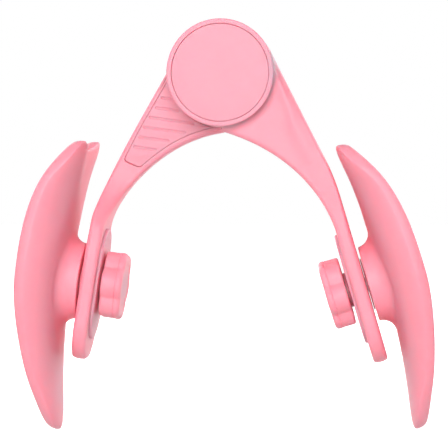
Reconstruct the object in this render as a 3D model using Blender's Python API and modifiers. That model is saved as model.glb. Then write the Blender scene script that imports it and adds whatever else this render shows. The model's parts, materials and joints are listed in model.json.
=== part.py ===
"""Spring-loaded thigh trainer: two curved arms on a spring hub, each with a swivelling thigh pad.

The hub axis runs along Y, the arms hang down from it and open to -X and +X, and the pads' tips
reach down to z = 0. Sizes below are in millimetres; meshes are stored in metres.

Each arm is drawn in its own frame: its hub axis is the origin, it leans towards +X, and its
half of the hub faces -Y. The right arm keeps that frame and the left arm is turned half round
about Z, so the right arm is the front layer and the left arm the rear one.
"""

import math

import bmesh
import bpy
import numpy as np
from mathutils import Vector

MM = 0.001
MERGE = 1e-6  # metres: points this close are one
GAP = 0.3  # play between pieces that touch

# Hub
HUB_HEIGHT = 189.2019  # hub axis above the lower pad tip
HUB_SIDE = -2.8317  # hub axis from the middle of the object's width
HUB_R = 27.9
HUB_FACE = 20.0  # outer face of each hub half, from the middle plane
HUB_SPLIT = 0.9  # inner face of each hub half, from the middle plane
CAP_R = 25.1
CAP_OUT, CAP_IN = 19.6, 17.2
SKIRT_OUT, SKIRT_IN, SKIRT_END = 11.6, 10.2, 14.6
POCKET_R = 12.0  # pocket for the bolt head, and for the nut on the other side
WEB_OUT, WEB_IN = 12.6, 9.8
CAVITY_R = 22.6  # the spring's chamber

# Pivot bolt and what is on it
BOLT_R = 4.0
BOLT_HOLE_R = 4.3
PIVOT_END = 16.6
HEAD_IN = 14.4
HEAD_R = 7.5
WASHER_R, WASHER_OUT, WASHER_IN = 9.5, 14.1, 12.9
BUSH_R, BUSH_END = 7.0, 9.5
THRUST_OUT, THRUST_IN, THRUST_HALF = 27.6, 23.2, 0.6

# Torsion spring
WIRE_R = 2.0
COIL_R = 16.0
COIL_END = 7.45  # middle of the first and last turn, from the middle plane
COIL_TURNS = 3
LEG = 42.0
CHANNEL = 5.0  # slot in the arm that the leg lies in

# Arms
ARM_FRONT, ARM_BACK = 15.0, 1.2  # how far the arm's two faces are from the middle plane at the hub
PADDLE_HALF = 20.0  # half of the arm's width where the pad is bolted on
PADDLE_THICK = 7.5
NECK_THICK = 7.2
PADDLE_TOP, PADDLE_END = 31.0, 41.2  # from the pad's bolt, up and down the arm
CORNER = 2.4  # rounding of the arm's edges
SLAB_RISE, SLAB_HALF, SLAB_R = 1.5, 29.7, 16.0
COVER_THICK, COVER_EDGE, COVER_TOP_R = 2.0, 3.6, 29.0

# Pad
PAD_HALF = 41.0
PAD_OUTLINE = ((80.6, 0), (75.5, 11.5), (60, 22), (36, 32), (2, PAD_HALF), (-36, 41.5), (-61, 38.5),
               (-74.2, 27), (-69.5, 0))
PAD_CREST = 31.1
GROOVE, GROOVE_HALF = 3.5, 13.0  # crease between the pad's two upper lobes
WALL = 5.8
RIM_DEPTH = 5.2  # how far the rim's side comes down before the flank slopes away
FLANK = 2.2  # power of the flank's curve: 1 is a straight slope
LINER = 2.5
LINER_MARGIN = 7.5
LINER_PLAY = 0.8
PEDESTAL_R, PEDESTAL_FILLET, PEDESTAL_FACE = 20.2, 7.0, 1.3
PAD_BOLT_HEAD = (6.6, 11.6)
PAD_BOLT_END = -19.2
SEAL_R, SEAL_FACES = 14.0, (0.45, 1.0)

# Knob
KNOB_R, KNOB_LOBE, KNOB_LOBES = 17.6, 1.2, 6
KNOB_FACES = (-21.6, -10.6)
KNOB_ROUND = 1.0
COLLAR_R, COLLAR_FACES = 9.25, (-10.3, -9.3)
INSERT_R, INSERT_END = 6.2, -20.2

ARMS = {
    # root: lean of the upper arm, whose outer edge is offset from the hub axis. tilt: lean of the
    # arm at the pad, and lean: how much more the pad leans, by the play of its bolt. bolt: where
    # the pad's bolt crosses the arm's outer face. bend: how far before and after the corner the arm
    # bends. cusp, arch, reach and tail: the arch inside, from below the hub, in its first direction,
    # with its two handles.
    "right": dict(root=27.0, offset=28.1, tilt=16.5, lean=0.2, bolt=(75.9, -110.9),
                  bend=(10.0, 11.0), cusp=30.2, arch=16.0, reach=44.0, tail=12.0, turn=0.0),
    "left": dict(root=29.8, offset=26.7, tilt=9.0, lean=-1.4, bolt=(73.5, -109.9),
                 bend=(46.0, 14.0), cusp=30.6, arch=8.0, reach=38.0, tail=10.0, turn=math.pi),
}


# ---------------------------------------------------------------- scene and mesh helpers


def clear_scene():
    for thing in list(bpy.data.objects):
        bpy.data.objects.remove(thing, do_unlink=True)


def collection(name):
    made = bpy.data.collections.new(name)
    bpy.context.scene.collection.children.link(made)
    return made


def material(name, colour, roughness, metallic=0.0):
    made = bpy.data.materials.new(name)
    made.use_nodes = True
    shader = made.node_tree.nodes["Principled BSDF"]
    shader.inputs["Base Color"].default_value = (*colour, 1.0)
    shader.inputs["Roughness"].default_value = roughness
    shader.inputs["Metallic"].default_value = metallic
    return made


def empty(name, place, turn=(0, 0, 0), parent=None):
    made = bpy.data.objects.new(name, None)
    made.location = Vector(place) * MM
    made.rotation_euler = turn
    made.parent = parent
    parts.objects.link(made)
    return made


def place_object(name, mesh, finish=None, parent=None, turn=0.0, along=None, flat=False):
    """A mesh as an object. Without a finish it is a cutter.

    along lays the mesh's own Z axis on -Y or on X, and a flat outline's Y axis on Z.
    """
    made = bpy.data.objects.new(name, mesh)
    made.parent = parent
    quarter = math.pi / 2
    made.rotation_euler = {None: (0, 0, turn), "y": (quarter, 0, turn),
                           "x": (quarter, 0, quarter) if flat else (0, quarter, 0)}[along]
    if finish is None:
        cutters.objects.link(made)
        made.hide_render = True
        made.display_type = "WIRE"
    else:
        parts.objects.link(made)
        mesh.materials.append(finish)
        mesh.shade_smooth()
        mesh.set_sharp_from_angle(angle=math.radians(40))
    return made


def loft(name, rings, closed=False, **where):
    """Skin over unlike sections of equal length: capped, or joined end to end when closed."""
    count = len(rings[0])
    points = [tuple(float(c) * MM for c in p) for ring in rings for p in ring]
    faces = []
    for i in range(len(rings) if closed else len(rings) - 1):
        a, b = i * count, (i + 1) % len(rings) * count
        for j in range(count):
            k = (j + 1) % count
            faces.append((a + j, a + k, b + k, b + j))
    if not closed:
        faces.append(tuple(reversed(range(count))))
        faces.append(tuple(range((len(rings) - 1) * count, len(points))))
    mesh = bpy.data.meshes.new(name)
    mesh.from_pydata(points, [], faces)
    shape = bmesh.new()
    shape.from_mesh(mesh)
    bmesh.ops.recalc_face_normals(shape, faces=shape.faces)
    shape.to_mesh(mesh)
    shape.free()
    return place_object(name, mesh, **where)


def turned(name, profile, along="y", steps=48, hole=0.0, **where):
    """A turned piece: profile is its outer side, as (radius, place along the axis) points."""
    if along == "y":
        profile = [(r, -place) for r, place in profile]
    if profile[0][1] < profile[-1][1]:
        profile = profile[::-1]
    profile = [(hole, profile[0][1]), *profile, (hole, profile[-1][1])]
    count = len(profile)
    mesh = bpy.data.meshes.new(name)
    edges = [(i, i + 1) for i in range(count - 1)] + ([(count - 1, 0)] if hole else [])
    mesh.from_pydata([(r * MM, 0, place * MM) for r, place in profile], edges, [])
    made = place_object(name, mesh, along=along, **where)
    screw = made.modifiers.new("turn", "SCREW")
    screw.steps = screw.render_steps = steps
    screw.use_merge_vertices = True
    screw.merge_threshold = MERGE
    return made


def plate(name, outline, low, high, along="y", **where):
    """A flat outline made solid from low to high along Y, or along X."""
    flat = bpy.data.curves.new(name, "CURVE")
    flat.dimensions = "2D"
    flat.fill_mode = "BOTH"
    flat.extrude = (high - low) / 2 * MM
    line = flat.splines.new("POLY")
    line.points.add(len(outline) - 1)
    line.use_cyclic_u = True
    for point, (u, v) in zip(line.points, outline):
        point.co = (u * MM, v * MM, 0, 1)
    curve = bpy.data.objects.new(name, flat)
    bpy.context.scene.collection.objects.link(curve)
    bpy.context.view_layer.update()
    solid = bpy.data.meshes.new_from_object(curve.evaluated_get(bpy.context.evaluated_depsgraph_get()))
    bpy.data.objects.remove(curve)
    shape = bmesh.new()
    shape.from_mesh(solid)
    bmesh.ops.remove_doubles(shape, verts=shape.verts, dist=MERGE)
    middle = (low + high) / 2 * (1 if along == "x" else -1)
    bmesh.ops.translate(shape, verts=shape.verts, vec=(0, 0, middle * MM))
    shape.to_mesh(solid)
    shape.free()
    solid.materials.clear()
    return place_object(name, solid, along=along, flat=True, **where)


def hexagon_bar(name, low, high, along, **where):
    """A bar of six flats, HEAD_R from its axis to its corners, between low and high."""
    if along == "y":
        low, high = -high, -low
    mesh = bpy.data.meshes.new(name)
    shape = bmesh.new()
    bmesh.ops.create_cone(shape, cap_ends=True, segments=6, radius1=(HEAD_R - GAP) * MM,
                          radius2=(HEAD_R - GAP) * MM, depth=(high - low) * MM)
    bmesh.ops.translate(shape, verts=shape.verts, vec=(0, 0, (low + high) / 2 * MM))
    shape.to_mesh(mesh)
    shape.free()
    return place_object(name, mesh, along=along, **where)


def boolean(target, tool, operation="DIFFERENCE"):
    step = target.modifiers.new(operation.lower(), "BOOLEAN")
    step.object = tool
    step.operation = operation
    step.solver = "EXACT"


def smooth_step(x):
    x = min(max(x, 0.0), 1.0)
    return x * x * (3 - 2 * x)


def bezier(points, t):
    a, b, c, d = points
    return (1 - t) ** 3 * a + 3 * (1 - t) ** 2 * t * b + 3 * (1 - t) * t**2 * c + t**3 * d


# ---------------------------------------------------------------- arms


def arm_lines(arm):
    """The arm's outer edge and inner edge as functions of t, from the hub (0) to the pad (1)."""
    root, tilt = math.radians(arm["root"]), math.radians(arm["tilt"])
    start = arm["offset"] * np.array([math.cos(root), math.sin(root)])
    along = np.array([math.sin(root), -math.cos(root)])
    down = np.array([math.sin(tilt), -math.cos(tilt)])
    out = np.array([math.cos(tilt), math.sin(tilt)])
    bolt = np.array(arm["bolt"])
    lengths = np.linalg.solve(np.array([along, down]).T, bolt - start)
    corner = start + along * lengths[0]
    total = lengths[0] + lengths[1] - PADDLE_TOP

    before, after = arm["bend"]

    def outer(t):
        s = t * total - lengths[0]
        if s < -before:
            return corner + along * s
        if s > after:
            return corner + down * s
        u = (s + before) / (before + after)
        return corner - along * before * (1 - u) ** 2 + down * after * u**2

    cusp = np.array([0.0, -arm["cusp"]])
    arch = math.radians(arm["arch"])
    end = bolt - down * PADDLE_TOP - out * NECK_THICK
    handles = (
        cusp,
        cusp + arm["reach"] * np.array([math.cos(arch), -math.sin(arch)]),
        end - arm["tail"] * down,
        end,
    )
    return outer, lambda t: bezier(handles, t), bolt, down, out


def arm_faces(t):
    """The arm's front and back at t: thin and flat at the hub, as wide as the paddle at the pad."""
    front = -ARM_FRONT - (PADDLE_HALF - ARM_FRONT) * smooth_step((t - 0.35) / 0.6)
    back = -ARM_BACK + (PADDLE_HALF + ARM_BACK) * smooth_step((t - 0.5) / 0.5)
    return front, back


def section(outer, inner, front, back, corner, steps=2):
    """A rounded rectangle between the arm's outer and inner edge and its front and back face."""
    middle = (outer + inner) / 2
    half = (outer - inner) / 2
    reach = float(np.linalg.norm(half))
    side = half / reach
    centre, depth = (front + back) / 2, (back - front) / 2
    r = min(corner, 0.98 * reach, 0.98 * depth)
    made = []
    for quarter, (su, sv) in enumerate(((1, 1), (-1, 1), (-1, -1), (1, -1))):
        for i in range(steps + 1):
            angle = math.pi / 2 * (quarter + i / steps)
            u = su * (reach - r) + r * math.cos(angle)
            v = sv * (depth - r) + r * math.sin(angle)
            x, z = middle + side * u
            made.append((x, centre + v, z))
    return made


def arm_rings(arm, steps):
    outer, inner, bolt, down, out = arm_lines(arm)
    rings = []
    for i in range(steps + 1):
        t = i / steps
        rings.append(section(outer(t), inner(t), *arm_faces(t), CORNER))
    straight = PADDLE_END - PADDLE_HALF
    rounding = [PADDLE_HALF * math.sin(math.radians(a)) for a in (0, 22, 42, 60, 74, 85)]
    for d in [-PADDLE_TOP + 6, -10, 5] + [straight + r for r in rounding]:
        past = max(d - straight, 0.0)
        half = math.sqrt(PADDLE_HALF**2 - past**2)
        place = bolt + down * d
        rings.append(section(place, place - out * PADDLE_THICK, -half, half, CORNER))
    return rings


def cover_outline(arm, spare=0.0):
    """The rib cover's outline, inside the arm's edges and clear of the hub, grown by spare."""
    outer, inner, *_ = arm_lines(arm)

    def edge(t, share_out):
        a, b = outer(t), inner(t)
        side = (b - a) / np.linalg.norm(b - a)
        inset = COVER_EDGE - spare
        return a + side * inset if share_out else b - side * inset

    top_r = COVER_TOP_R - spare
    outside = [edge(t, True) for t in np.linspace(0.2, 0.545 + spare * 0.012, 9)]
    inside = [edge(t, False) for t in np.linspace(0.475 + spare * 0.012, 0.05, 15)]
    outside = [p for p in outside if np.linalg.norm(p) > top_r]
    inside = [p for p in inside if np.linalg.norm(p) > top_r]
    first, last = inside[-1], outside[0]
    a0, a1 = math.atan2(first[1], first[0]), math.atan2(last[1], last[0])
    arc = [top_r * np.array([math.cos(a), math.sin(a)]) for a in np.linspace(a0, a1, 8)]
    return [tuple(p) for p in outside + inside + arc]


def channel_box(arm):
    """The spring leg's channel: along the leg, open through the arm's back face."""
    root = math.radians(arm["root"])
    along = np.array([math.sin(root), -math.cos(root)])
    side = np.array([math.cos(root), math.sin(root)])
    start, end = side * COIL_R - along * 2, side * COIL_R + along * (LEG + 3)
    half = side * CHANNEL / 2
    return [tuple(p) for p in (start - half, start + half, end + half, end - half)]


def obround(half_length, radius, steps=8):
    """The outline of a flat bar with round ends, in Y-Z."""
    made = []
    for end, start in ((1, 0.0), (-1, math.pi)):
        for i in range(steps + 1):
            angle = start + math.pi * i / steps
            made.append((radius * math.cos(angle),
                         radius * math.sin(angle) + end * (half_length - radius)))
    return made


def make_arm(side, arm, paddle):
    where = dict(parent=hub, turn=arm["turn"])
    body = loft(f"{side}_arm", arm_rings(arm, 13), finish=pink, **where)
    drum = turned(f"{side}_hub_drum", [(HUB_R - 1, -HUB_FACE), (HUB_R, -HUB_FACE + 1),
                  (HUB_R, -HUB_SPLIT)], **where)
    slab = plate(f"{side}_slab", obround(SLAB_HALF, SLAB_R), -PADDLE_THICK - SLAB_RISE,
                 -PADDLE_THICK + 1, along="x", parent=paddle)
    bore = turned(f"{side}_hub_bore", [
        (CAP_R + GAP, -HUB_FACE - 1), (CAP_R + GAP, -CAP_IN + GAP),
        (POCKET_R, -CAP_IN + GAP), (POCKET_R, -WEB_OUT),
        (BOLT_HOLE_R, -WEB_OUT), (BOLT_HOLE_R, -WEB_IN),
        (CAVITY_R, -WEB_IN), (CAVITY_R, 1.0)], **where)
    channel = plate(f"{side}_leg_channel", channel_box(arm), -COIL_END - CHANNEL / 2, 0.5, **where)
    recess = plate(f"{side}_cover_recess", cover_outline(arm, GAP),
                   -ARM_BACK - COVER_THICK - GAP, 3.0, **where)
    pad_hole = turned(f"{side}_pad_hole", [(BOLT_HOLE_R, -12.0), (BOLT_HOLE_R, 3.0)], along="x",
                      steps=32, parent=paddle)
    for tool in (drum, slab):
        boolean(body, tool, "UNION")
    for tool in (bore, channel, recess, pad_hole):
        boolean(body, tool)
    plate(f"{side}_arm_cover", cover_outline(arm), -ARM_BACK - COVER_THICK, -ARM_BACK,
          finish=pink, **where)


# ---------------------------------------------------------------- hub


def make_hub():
    for name, turn in (("front", 0.0), ("rear", math.pi)):
        where = dict(parent=hub, turn=turn)
        turned(f"{name}_cap", [
            (CAP_R - 0.5, -CAP_OUT), (CAP_R, -CAP_OUT + 0.5), (CAP_R, -CAP_IN),
            (SKIRT_OUT, -CAP_IN), (SKIRT_OUT, -SKIRT_END), (SKIRT_IN, -SKIRT_END),
            (SKIRT_IN, -CAP_IN)], steps=40, finish=pink, **where)
        turned(f"{name}_washer", [(WASHER_R, -WASHER_OUT), (WASHER_R, -WASHER_IN)],
               hole=BOLT_HOLE_R, steps=32, finish=steel, **where)
    turned("pivot_bolt", [(HEAD_R - 0.8, -PIVOT_END), (HEAD_R, -PIVOT_END + 0.8),
           (HEAD_R, -HEAD_IN), (BOLT_R, -HEAD_IN), (BOLT_R, PIVOT_END)], steps=32,
           finish=steel, parent=hub)
    nut = hexagon_bar("pivot_nut", HEAD_IN, PIVOT_END, "y", finish=steel, parent=hub)
    boolean(nut, turned("nut_hole", [(BOLT_HOLE_R, HEAD_IN - 1), (BOLT_HOLE_R, PIVOT_END + 1)],
                        steps=24, parent=hub))
    turned("pivot_bush", [(BUSH_R, -BUSH_END), (BUSH_R, BUSH_END)], hole=BOLT_HOLE_R, steps=32,
           finish=nylon, parent=hub)
    turned("thrust_washer", [(THRUST_OUT, -THRUST_HALF), (THRUST_OUT, THRUST_HALF)],
           hole=THRUST_IN, finish=nylon, parent=hub)


def spring_route():
    """One leg, the coil over the hub axis, and the other leg, as points in millimetres."""
    right, left = math.radians(ARMS["right"]["root"]), math.radians(ARMS["left"]["root"])
    first, last = math.pi - left, right - 2 * math.pi * COIL_TURNS
    points = []
    for s in (LEG, LEG / 2):
        points.append((-COIL_R * math.cos(left) - s * math.sin(left), COIL_END,
                       COIL_R * math.sin(left) - s * math.cos(left)))
    steps = 12 * COIL_TURNS + 4
    for i in range(steps + 1):
        angle = first + (last - first) * i / steps
        place = COIL_END - 2 * COIL_END * i / steps
        points.append((COIL_R * math.cos(angle), place, COIL_R * math.sin(angle)))
    for s in (LEG / 2, LEG):
        points.append((COIL_R * math.cos(right) + s * math.sin(right), -COIL_END,
                       COIL_R * math.sin(right) - s * math.cos(right)))
    return points


def make_spring():
    wire = bpy.data.curves.new("torsion_spring", "CURVE")
    wire.dimensions = "3D"
    wire.bevel_depth = WIRE_R * MM
    wire.bevel_resolution = 2
    wire.use_fill_caps = True
    route = spring_route()
    line = wire.splines.new("POLY")
    line.points.add(len(route) - 1)
    for point, place in zip(line.points, route):
        point.co = (*(c * MM for c in place), 1.0)
    wire.materials.append(steel)
    made = bpy.data.objects.new("torsion_spring", wire)
    made.parent = hub
    parts.objects.link(made)


# ---------------------------------------------------------------- pads
# In a pad's own frame X points away from the arm, Z up the arm, and the bolt is the origin.
# d is the distance down the arm, so z = -d.


def pad_rim(count):
    """The pad's outline as (d, y) points, from a closed curve through PAD_OUTLINE and its mirror."""
    half = [np.array(p, float) for p in PAD_OUTLINE]
    knots = half + [p * (1, -1) for p in reversed(half[1:-1])]
    n = len(knots)
    fine = []
    for i in range(n):
        a, b, c, d = (knots[(i + k - 1) % n] for k in range(4))
        for t in np.linspace(0, 1, 40, endpoint=False):
            fine.append(0.5 * (2 * b + (c - a) * t + (2 * a - 5 * b + 4 * c - d) * t**2
                               + (3 * b - a - 3 * c + d) * t**3))
    fine = np.array(fine + fine[:1])
    run = np.concatenate([[0], np.cumsum(np.linalg.norm(np.diff(fine, axis=0), axis=1))])
    at = np.linspace(0, run[-1], count, endpoint=False)
    return np.stack([np.interp(at, run, fine[:, k]) for k in (0, 1)], 1)


def half_width(d, edge):
    """Half of the pad's width at d, from its outline's widest point there."""
    order = np.argsort(edge[:, 0])
    return float(np.interp(d, edge[order, 0], edge[order, 1]))


def spine(d):
    """The pad's underside beside its middle, away from the arm's face."""
    return 9.3 - 0.00086 * d * d - 6.5e-6 * abs(d) ** 3


def ending(d):
    """How far this place is into the pad's rounded ends, from 0 to 1."""
    return smooth_step((abs(d) - 50) / 22)


def shoulder(d):
    """Where the rim's rounding begins above the flank."""
    end = ending(d)
    return crest(d) - RIM_DEPTH * (1 - end) - 0.6 * (crest(d) - spine(d)) * end


def rounding(d):
    """How wide the outer rounding of the rim is."""
    return 0.5 * WALL + 1.7 * ending(d)


def crease(d, y):
    """The crease along the middle of the pad's upper half."""
    return GROOVE * smooth_step((-d - 24) / 44) * math.exp(-((y / GROOVE_HALF) ** 2))


def crest(d):
    """The top of the pad's rim, away from the arm's face."""
    return PAD_CREST - (0.0128 * d**1.68 if d > 0 else 4.3e-5 * abs(d) ** 3)


def bowl(d, y, share, low, high, edge):
    """A trough between low in its middle and high at its rim; share is how near the rim this is."""
    across = min(abs(y) / max(half_width(d, edge), 1e-6), 1.0)
    level = (1 - across**FLANK) ** (1 / FLANK) * max(1 - share**9, 0.0) ** (1 / 3)
    low += min(crease(d, y), 0.6 * max(high - low, 0.0))
    return low + (high - low) * (1 - level)


def hexagon(angle, flat):
    sixth = math.pi / 3
    return flat / math.cos((angle % sixth) - sixth / 2)


class PadShape:
    """The pad's surfaces, along rays from its bolt to its outline."""

    def __init__(self, rays, fine=1):
        self.rim = pad_rim(rays)
        outline = pad_rim(400)
        side = outline[outline[:, 1] >= 0]
        top = int(np.argmin(side[:, 0]))
        self.edge = side[: top + 1]
        self.fine = fine

    def under(self, ray, share):
        d, y = ray * share
        return bowl(d, y, share, spine(d), shoulder(d), self.edge)

    def trough(self, ray, share, wall):
        """The thigh side at this share of the ray, where the shell is as thick as wall."""
        inner = 1 - wall / float(np.linalg.norm(ray))
        share = min(share / inner, 1.0)
        d, y = ray * share * inner
        low = spine(d) + wall
        top = crest(d) - 0.12 * wall
        if low > top:
            return top - (WALL - wall)
        return bowl(d, y / inner, share, low, top, self.edge)

    def point(self, ray, share, height):
        d, y = ray * share
        return (height, y, -d)

    def shell_path(self, ray):
        """One cut through the shell from the bolt outwards: under side, rim, trough and pocket."""
        size = float(np.linalg.norm(ray))
        angle = math.atan2(ray[1], ray[0])

        def at(radius):
            return radius / size

        path = [(at(BOLT_HOLE_R), PEDESTAL_FACE)]
        path.append((at(PEDESTAL_R - 0.8), PEDESTAL_FACE))
        path.append((at(PEDESTAL_R), PEDESTAL_FACE + 0.8))
        foot = PEDESTAL_R + PEDESTAL_FILLET
        top = self.under(ray, at(foot))
        for turn in np.linspace(0, 90, 2 + 3 * self.fine):
            c, s = math.cos(math.radians(turn)), math.sin(math.radians(turn))
            path.append((at(foot - PEDESTAL_FILLET * c), top - PEDESTAL_FILLET * (1 - s)))
        near = math.asin(at(foot))
        for bend in np.linspace(near, math.pi / 2, 2 + 5 * self.fine)[1:]:
            path.append((math.sin(bend), self.under(ray, math.sin(bend))))
        rim_low, rim_top = path[-1][1], crest(ray[0])
        outer, inner = rounding(ray[0]), max(WALL - rounding(ray[0]), 1.0)
        inner_low = min(self.trough(ray, 1 - at(outer + inner), WALL), rim_top - 0.05)
        for turn in np.linspace(0, 90, 2 + 2 * self.fine)[1:]:
            c, s = math.cos(math.radians(turn)), math.sin(math.radians(turn))
            path.append((1 - at(outer * (1 - c)), rim_low + (rim_top - rim_low) * s))
        for turn in np.linspace(0, 90, 1 + 2 * self.fine)[1:]:
            c, s = math.cos(math.radians(turn)), math.sin(math.radians(turn))
            path.append((1 - at(outer + inner * s), inner_low + (rim_top - inner_low) * c))
        ledge = 1 - at(LINER_MARGIN)
        last = path[-1][0]
        path.append(((last + ledge) / 2, self.trough(ray, (last + ledge) / 2, WALL)))
        path.append((ledge, self.trough(ray, ledge, WALL)))
        floor = WALL - LINER - LINER_PLAY
        path.append((ledge, self.trough(ray, ledge, floor)))
        pocket = at(hexagon(angle, HEAD_R))
        for share in np.linspace(ledge, pocket, 2 + 4 * self.fine)[1:]:
            path.append((share, self.trough(ray, share, floor)))
        path.append((pocket, PAD_BOLT_HEAD[0] - GAP))
        path.append((at(BOLT_HOLE_R), PAD_BOLT_HEAD[0] - GAP))
        return [self.point(ray, share, height) for share, height in path]

    def liner_path(self, ray):
        size = float(np.linalg.norm(ray))
        ledge = 1 - (LINER_MARGIN + LINER_PLAY) / size
        path = []
        for share in np.linspace(0.02, ledge, 1 + 5 * self.fine):
            path.append((share, self.trough(ray, share, WALL - LINER)))
        for share in np.linspace(ledge, 0.02, 1 + 5 * self.fine):
            path.append((share, self.trough(ray, share, WALL)))
        return [self.point(ray, share, height) for share, height in path]


def make_pad(side, axis):
    shape = PadShape(28)
    loft(f"{side}_pad_shell", [shape.shell_path(r) for r in shape.rim], closed=True,
         finish=pink, parent=axis)
    rays = [shape.liner_path(r) for r in shape.rim]
    loft(f"{side}_pad_liner", list(map(list, zip(*rays))), finish=soft, parent=axis)
    low, high = PAD_BOLT_HEAD
    bolt = hexagon_bar(f"{side}_pad_bolt", low, high, "x", finish=steel, parent=axis)
    boolean(bolt, turned(f"{side}_bolt_shank", [(BOLT_R, PAD_BOLT_END), (BOLT_R, low + 1)],
                         along="x", steps=32, parent=axis), "UNION")
    turned(f"{side}_friction_washer", [(SEAL_R, SEAL_FACES[0]), (SEAL_R, SEAL_FACES[1])],
           along="x", hole=BOLT_HOLE_R, steps=24, finish=rubber, parent=axis)


# ---------------------------------------------------------------- knobs


def knob_outline(count=36):
    """A round outline with shallow lobes, in Y-Z."""
    made = []
    for i in range(count):
        angle = 2 * math.pi * i / count
        r = KNOB_R + KNOB_LOBE * math.cos(KNOB_LOBES * angle)
        made.append((r * math.cos(angle), r * math.sin(angle)))
    return made


def make_knob(side, axis):
    face, back = KNOB_FACES
    knob = plate(f"{side}_knob", knob_outline(), face, back, along="x", finish=pink, parent=axis)
    rounded = knob.modifiers.new("rounded", "BEVEL")
    rounded.width = KNOB_ROUND * MM
    rounded.segments = 2
    rounded.angle_limit = math.radians(60)
    boolean(knob, turned(f"{side}_knob_bore", [(INSERT_R + GAP, INSERT_END - GAP),
                         (INSERT_R + GAP, back + 1)], along="x", steps=32, parent=axis))
    turned(f"{side}_knob_insert", [(INSERT_R, INSERT_END), (INSERT_R, back)], along="x",
           hole=BOLT_HOLE_R, steps=32, finish=brass, parent=axis)
    turned(f"{side}_knob_washer", [(COLLAR_R, COLLAR_FACES[0]), (COLLAR_R, COLLAR_FACES[1])],
           along="x", hole=BOLT_HOLE_R, steps=24, finish=pink, parent=axis)


# ---------------------------------------------------------------- assembly

clear_scene()
parts = collection("thigh_trainer")
cutters = collection("cutters")
pink = material("soft_touch_pink", (0.92, 0.40, 0.47), 0.55)
soft = material("soft_liner_pink", (0.88, 0.36, 0.44), 0.75)
steel = material("zinc_steel", (0.62, 0.62, 0.63), 0.35, 1.0)
brass = material("brass", (0.78, 0.57, 0.25), 0.3, 1.0)
nylon = material("white_nylon", (0.85, 0.84, 0.80), 0.5)
rubber = material("red_rubber", (0.70, 0.20, 0.26), 0.85)

hub = empty("hub_axis", (HUB_SIDE, 0, HUB_HEIGHT))
for side, arm in ARMS.items():
    place = (arm["bolt"][0] * math.cos(arm["turn"]), 0, arm["bolt"][1])
    paddle = empty(f"{side}_paddle", place, (0, -math.radians(arm["tilt"]), arm["turn"]), hub)
    pad_axis = empty(f"{side}_pad_axis", (0, 0, 0), (0, -math.radians(arm["lean"]), 0), paddle)
    make_arm(side, arm, paddle)
    make_pad(side, pad_axis)
    make_knob(side, pad_axis)
make_hub()
make_spring()
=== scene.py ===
# %% [markdown]
# # A spring-loaded thigh trainer
#
# Two curved arms hang from a round spring hub. Each ends in a flat paddle, with a saddle-shaped
# thigh pad bolted to its outer side and a lobed knob on its inner side. The moving design is
# already packed as a frame of plain solids. This script gives every piece its finished surface,
# and never moves or resizes the frame.

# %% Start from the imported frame
import json
import math

import bmesh
import bpy
import numpy as np
from mathutils import Matrix, Vector


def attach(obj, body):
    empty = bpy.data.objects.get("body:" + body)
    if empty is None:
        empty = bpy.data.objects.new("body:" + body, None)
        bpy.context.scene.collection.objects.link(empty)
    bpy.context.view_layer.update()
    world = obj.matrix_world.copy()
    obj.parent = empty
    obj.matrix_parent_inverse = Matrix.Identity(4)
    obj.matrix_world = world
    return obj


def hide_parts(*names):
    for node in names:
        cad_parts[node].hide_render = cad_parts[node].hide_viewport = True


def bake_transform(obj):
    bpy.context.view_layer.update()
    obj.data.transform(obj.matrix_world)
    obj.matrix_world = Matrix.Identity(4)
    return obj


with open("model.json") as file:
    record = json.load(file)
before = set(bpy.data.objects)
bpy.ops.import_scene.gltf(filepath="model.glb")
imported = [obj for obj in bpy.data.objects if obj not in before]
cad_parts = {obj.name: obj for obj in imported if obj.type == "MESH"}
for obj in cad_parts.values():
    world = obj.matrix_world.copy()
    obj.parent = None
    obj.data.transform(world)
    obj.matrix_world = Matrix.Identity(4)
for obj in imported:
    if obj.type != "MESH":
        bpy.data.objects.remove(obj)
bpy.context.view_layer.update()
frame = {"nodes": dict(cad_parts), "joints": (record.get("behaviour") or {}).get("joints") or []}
MM = 0.001

# %% [markdown]
# ## Where things are
#
# The frame's joints say where the hub axis is and where each pad's bolt runs, so every other
# place is worked out from them. Each arm and each pad gets its own set of axes, as a matrix: in
# an arm's axes X points outwards, Y to the back and Z up, seen from that arm's own front.

# %% Axes of the hub, the arms and the pads
joints = {joint["name"]: joint for joint in frame["joints"]}
hub_axis = Vector(joints["arm_hinge"]["pos_m"])
SIDES = ("right", "left")
TILT = {"right": 16.5, "left": 9.0}  # degrees that each paddle leans


def axes(origin, outward, side):
    """Matrix of a set of axes in millimetres: X outwards, Z up, and Y to that side's back."""
    x = Vector(outward).normalized()
    y = Vector((0, 1 if side == "right" else -1, 0))
    z = x.cross(y)
    rotation = Matrix((x, y, z)).transposed().to_4x4()
    return Matrix.Translation(origin) @ rotation @ Matrix.Scale(MM, 4)


arm_axes, paddle_axes, pad_axes, bolt_at = {}, {}, {}, {}
for side in SIDES:
    swivel = joints[f"{side}_pad_swivel"]
    way = 1 if side == "right" else -1
    lean = math.radians(TILT[side])
    bolt = Vector(swivel["pos_m"])
    arm_axes[side] = axes(hub_axis, (way, 0, 0), side)
    paddle_axes[side] = axes(bolt, (way * math.cos(lean), 0, math.sin(lean)), side)
    pad_axes[side] = axes(bolt, swivel["axis"], side)
    bolt_at[side] = np.array((way * (bolt.x - hub_axis.x), bolt.z - hub_axis.z)) / MM
    print(side, "bolt is", bolt_at[side].round(1), "mm from the hub axis")

# %% [markdown]
# ## Camera
#
# The view is nearly straight on: a long lens, a little to the right of the middle and a little
# above. A long lens keeps the two pads the same size, as a maker's catalogue view does.

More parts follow.
